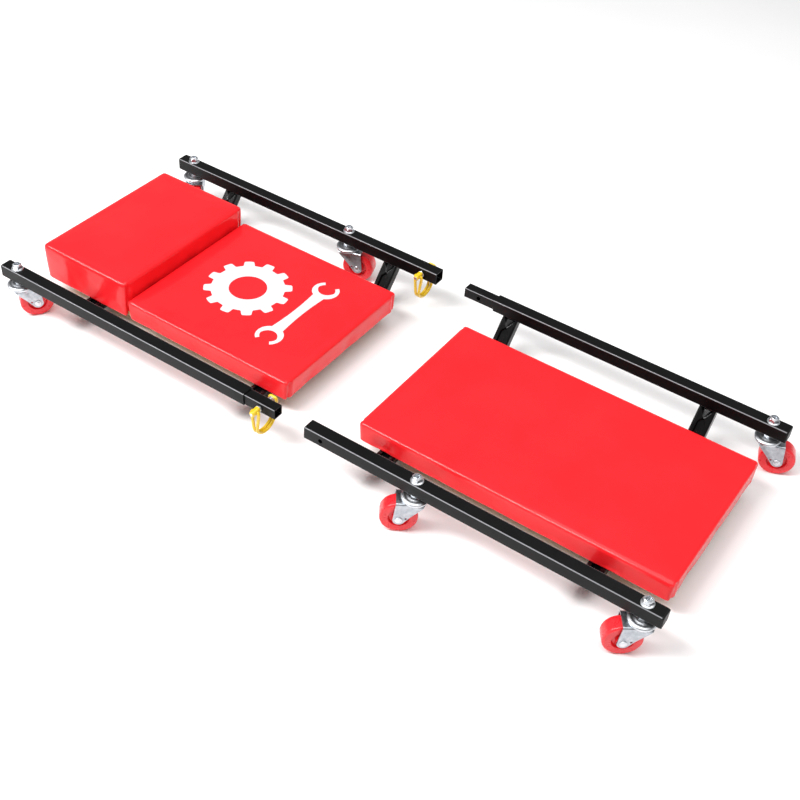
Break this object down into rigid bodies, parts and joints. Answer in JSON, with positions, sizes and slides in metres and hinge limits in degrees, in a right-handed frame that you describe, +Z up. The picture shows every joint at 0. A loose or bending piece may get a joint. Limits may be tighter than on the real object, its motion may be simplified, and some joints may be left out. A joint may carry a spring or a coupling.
{
  "type": "mechanics creeper",
  "caption": "Low two-piece creeper: padded halves on black tube rails that slip together, with raised headrest, swivel casters and wire-bail lock pins.",
  "frame": {"origin": "on the floor, in the middle of the creeper's outline with its halves apart", "axes": "+X along the creeper from the headrest to the hip end, +Z up from the floor, +Y to the far side"},
  "size_m": [1.1136, 0.4518, 0.0934],
  "materials": {
    "powder_coat": "satin",
    "cap_plastic": "matte",
    "zinc_plate": "bright zinc",
    "wheel_plastic": "gloss",
    "pad_vinyl": "smooth vinyl",
    "plywood": "raw",
    "yellow_coat": "dipped"
  },
  "bodies": {
    "head_half": {"head_socket_rail": "powder_coat", "head_tongue_rail": "powder_coat", "head_tongue": "powder_coat", "head_bar_outer": "powder_coat", "head_bar_inner": "powder_coat", "head_end_caps": "cap_plastic", "head_board": "plywood", "head_pad": "pad_vinyl", "headrest_pad": "pad_vinyl", "head_board_screws": "zinc_plate", "head_stem_nuts": "zinc_plate", "head_spacer_nuts": "zinc_plate", "caster_a_stem": "zinc_plate", "caster_a_balls": "zinc_plate", "caster_b_stem": "zinc_plate", "caster_b_balls": "zinc_plate", "caster_c_stem": "zinc_plate", "caster_c_balls": "zinc_plate"},
    "hip_half": {"hip_socket_rail": "powder_coat", "hip_tongue_rail": "powder_coat", "hip_tongue": "powder_coat", "hip_bar_outer": "powder_coat", "hip_bar_inner": "powder_coat", "hip_end_caps": "cap_plastic", "hip_board": "plywood", "hip_pad": "pad_vinyl", "hip_board_screws": "zinc_plate", "hip_stem_nuts": "zinc_plate", "hip_spacer_nuts": "zinc_plate", "caster_d_stem": "zinc_plate", "caster_d_balls": "zinc_plate", "caster_e_stem": "zinc_plate", "caster_e_balls": "zinc_plate", "caster_f_stem": "zinc_plate", "caster_f_balls": "zinc_plate"},
    "near_lock_pin": {"near_pin": "zinc_plate"},
    "near_lock_bail": {"near_bail": "yellow_coat"},
    "far_lock_pin": {"far_pin": "zinc_plate"},
    "far_lock_bail": {"far_bail": "yellow_coat"},
    "caster_a_swivel": {"caster_a_fork": "zinc_plate", "caster_a_axle": "zinc_plate"},
    "caster_a_roller": {"caster_a_wheel": "wheel_plastic"},
    "caster_b_swivel": {"caster_b_fork": "zinc_plate", "caster_b_axle": "zinc_plate"},
    "caster_b_roller": {"caster_b_wheel": "wheel_plastic"},
    "caster_c_swivel": {"caster_c_fork": "zinc_plate", "caster_c_axle": "zinc_plate"},
    "caster_c_roller": {"caster_c_wheel": "wheel_plastic"},
    "caster_d_swivel": {"caster_d_fork": "zinc_plate", "caster_d_axle": "zinc_plate"},
    "caster_d_roller": {"caster_d_wheel": "wheel_plastic"},
    "caster_e_swivel": {"caster_e_fork": "zinc_plate", "caster_e_axle": "zinc_plate"},
    "caster_e_roller": {"caster_e_wheel": "wheel_plastic"},
    "caster_f_swivel": {"caster_f_fork": "zinc_plate", "caster_f_axle": "zinc_plate"},
    "caster_f_roller": {"caster_f_wheel": "wheel_plastic"}
  },
  "joints": [
    {"name": "halves_slide", "type": "slide", "parent": "head_half", "child": "hip_half", "axis": [-1, 0, 0], "range_m": [0, 0.103]},
    {"name": "near_pin_slide", "type": "slide", "parent": "head_half", "child": "near_lock_pin", "axis": [0, -1, 0], "range_m": [0, 0.042]},
    {"name": "near_bail_swing", "type": "hinge", "parent": "near_lock_pin", "child": "near_lock_bail", "pos_m": [-0.06179, -0.20967, 0.0748], "axis": [-1, 0, 0], "range_deg": [0, 180]},
    {"name": "far_pin_slide", "type": "slide", "parent": "head_half", "child": "far_lock_pin", "axis": [0, -1, 0], "range_m": [0, 0.042]},
    {"name": "far_bail_swing", "type": "hinge", "parent": "far_lock_pin", "child": "far_lock_bail", "pos_m": [-0.06079, 0.18333, 0.0748], "axis": [-1, 0, 0], "range_deg": [0, 180]},
    {"name": "caster_a_turn", "type": "hinge", "parent": "head_half", "child": "caster_a_swivel", "pos_m": [-0.53079, -0.19207, 0.0543], "axis": [0, 0, 1], "continuous": true},
    {"name": "caster_a_roll", "type": "hinge", "parent": "caster_a_swivel", "child": "caster_a_roller", "pos_m": [-0.5199, -0.1753, 0.0254], "axis": [-0.8387, 0.5446, 0], "continuous": true},
    {"name": "caster_b_turn", "type": "hinge", "parent": "head_half", "child": "caster_b_swivel", "pos_m": [-0.53079, 0.20093, 0.0543], "axis": [0, 0, 1], "continuous": true},
    {"name": "caster_b_roll", "type": "hinge", "parent": "caster_b_swivel", "child": "caster_b_roller", "pos_m": [-0.51848, 0.18517, 0.0254], "axis": [0.788, 0.6157, 0], "continuous": true},
    {"name": "caster_c_turn", "type": "hinge", "parent": "head_half", "child": "caster_c_swivel", "pos_m": [-0.20679, 0.20093, 0.0543], "axis": [0, 0, 1], "continuous": true},
    {"name": "caster_c_roll", "type": "hinge", "parent": "caster_c_swivel", "child": "caster_c_roller", "pos_m": [-0.18777, 0.20711, 0.0254], "axis": [-0.309, 0.9511, 0], "continuous": true},
    {"name": "caster_d_turn", "type": "hinge", "parent": "hip_half", "child": "caster_d_swivel", "pos_m": [0.18721, -0.19207, 0.0543], "axis": [0, 0, 1], "continuous": true},
    {"name": "caster_d_roll", "type": "hinge", "parent": "caster_d_swivel", "child": "caster_d_roller", "pos_m": [0.17063, -0.20326, 0.0254], "axis": [0.5592, -0.829, 0], "continuous": true},
    {"name": "caster_e_turn", "type": "hinge", "parent": "hip_half", "child": "caster_e_swivel", "pos_m": [0.51121, -0.19207, 0.0543], "axis": [0, 0, 1], "continuous": true},
    {"name": "caster_e_roll", "type": "hinge", "parent": "caster_e_swivel", "child": "caster_e_roller", "pos_m": [0.49483, -0.20355, 0.0254], "axis": [0.5736, -0.8192, 0], "continuous": true},
    {"name": "caster_f_turn", "type": "hinge", "parent": "hip_half", "child": "caster_f_swivel", "pos_m": [0.51121, 0.20093, 0.0543], "axis": [0, 0, 1], "continuous": true},
    {"name": "caster_f_roll", "type": "hinge", "parent": "caster_f_swivel", "child": "caster_f_roller", "pos_m": [0.53, 0.20777, 0.0254], "axis": [-0.342, 0.9397, 0], "continuous": true}
  ],
  "couplings": [
    {"joint": "near_pin_slide", "follows": "halves_slide", "ratio": 0.40777},
    {"joint": "near_bail_swing", "follows": "halves_slide", "rad_per_m": 30.501},
    {"joint": "far_pin_slide", "follows": "halves_slide", "ratio": 0.40777},
    {"joint": "far_bail_swing", "follows": "halves_slide", "rad_per_m": 30.501}
  ]
}
